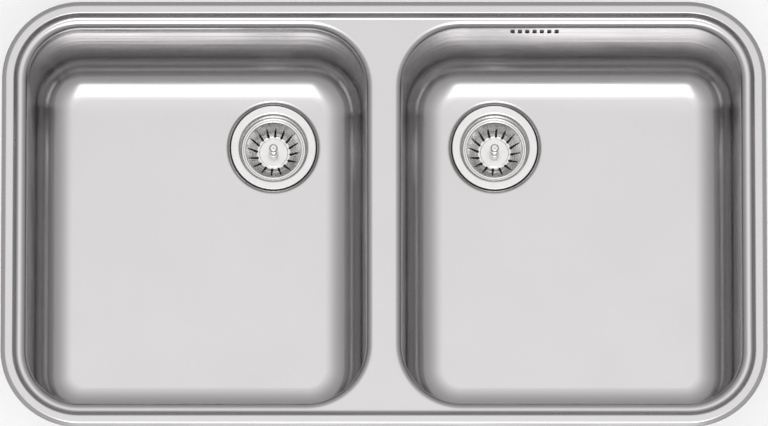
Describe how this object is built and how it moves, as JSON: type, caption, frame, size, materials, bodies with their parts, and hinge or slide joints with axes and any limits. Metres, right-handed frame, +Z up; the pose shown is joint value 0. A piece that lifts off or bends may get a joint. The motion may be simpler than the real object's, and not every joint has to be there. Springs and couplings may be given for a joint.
{
  "type": "double bowl kitchen sink",
  "caption": "Inset double bowl sink in pressed steel with a raised rim, slotted overflow, lift-out basket strainers, threaded waste outlets and swing clips for the worktop.",
  "frame": {"origin": "middle of the sink on the worktop's surface, the plane that the underside of the rim rests on", "axes": "+X to the right along the two bowls, +Y to the rear where the drains stand, +Z up"},
  "size_m": [0.78, 0.44, 0.281],
  "materials": {
    "sink_steel": "satin brushed stainless steel",
    "strainer_steel": "polished stainless steel",
    "clip_steel": "zinc plated steel",
    "waste_plastic": "moulded polypropylene, off white",
    "nut_plastic": "moulded polypropylene, dark grey",
    "rubber": "black rubber",
    "foam": "closed cell foam strip",
    "pad_bitumen": "bitumen sound pad"
  },
  "bodies": {
    "sink": {"deck_frame": "sink_steel", "rim_seal": "foam", "overflow_box": "waste_plastic", "overflow_gasket": "rubber", "overflow_studs": "sink_steel", "overflow_nuts": "clip_steel", "overflow_pipe": "waste_plastic", "pipe_seal": "rubber", "pipe_nut": "nut_plastic", "clip_brackets": "clip_steel", "clip_screws": "clip_steel", "earth_tag": "sink_steel", "left_bowl": "sink_steel", "left_pad": "pad_bitumen", "left_cup": "strainer_steel", "left_flange_seal": "rubber", "left_body_seal": "rubber", "left_waste": "waste_plastic", "left_screw": "strainer_steel", "right_bowl": "sink_steel", "right_pad": "pad_bitumen", "right_cup": "strainer_steel", "right_flange_seal": "rubber", "right_body_seal": "rubber", "right_waste": "waste_plastic", "right_screw": "strainer_steel"},
    "left_strainer": {"left_basket": "strainer_steel", "left_knob": "strainer_steel", "left_plug": "rubber", "left_retainer": "strainer_steel"},
    "right_strainer": {"right_basket": "strainer_steel", "right_knob": "strainer_steel", "right_plug": "rubber", "right_retainer": "strainer_steel"},
    "clip_1": {"claw_1": "clip_steel"},
    "clip_2": {"claw_2": "clip_steel"},
    "clip_3": {"claw_3": "clip_steel"},
    "clip_4": {"claw_4": "clip_steel"},
    "clip_5": {"claw_5": "clip_steel"},
    "clip_6": {"claw_6": "clip_steel"},
    "clip_7": {"claw_7": "clip_steel"},
    "clip_8": {"claw_8": "clip_steel"}
  },
  "joints": [
    {"name": "left_strainer_lift", "type": "slide", "parent": "sink", "child": "left_strainer", "axis": [0, 0, 1], "range_m": [0, 0.24]},
    {"name": "right_strainer_lift", "type": "slide", "parent": "sink", "child": "right_strainer", "axis": [0, 0, 1], "range_m": [0, 0.24]},
    {"name": "clip_1_swing", "type": "hinge", "parent": "sink", "child": "clip_1", "pos_m": [-0.09, 0.20323, -0.04925], "axis": [0, 0, 1], "range_deg": [0, 90]},
    {"name": "clip_2_swing", "type": "hinge", "parent": "sink", "child": "clip_2", "pos_m": [-0.285, 0.20323, -0.04925], "axis": [0, 0, 1], "range_deg": [0, 90]},
    {"name": "clip_3_swing", "type": "hinge", "parent": "sink", "child": "clip_3", "pos_m": [0.09, 0.20323, -0.04925], "axis": [0, 0, -1], "range_deg": [0, 90]},
    {"name": "clip_4_swing", "type": "hinge", "parent": "sink", "child": "clip_4", "pos_m": [0.285, 0.20323, -0.04925], "axis": [0, 0, -1], "range_deg": [0, 90]},
    {"name": "clip_5_swing", "type": "hinge", "parent": "sink", "child": "clip_5", "pos_m": [0.09, -0.20323, -0.04925], "axis": [0, 0, 1], "range_deg": [0, 90]},
    {"name": "clip_6_swing", "type": "hinge", "parent": "sink", "child": "clip_6", "pos_m": [0.285, -0.20323, -0.04925], "axis": [0, 0, 1], "range_deg": [0, 90]},
    {"name": "clip_7_swing", "type": "hinge", "parent": "sink", "child": "clip_7", "pos_m": [-0.09, -0.20323, -0.04925], "axis": [0, 0, -1], "range_deg": [0, 90]},
    {"name": "clip_8_swing", "type": "hinge", "parent": "sink", "child": "clip_8", "pos_m": [-0.285, -0.20323, -0.04925], "axis": [0, 0, -1], "range_deg": [0, 90]}
  ]
}
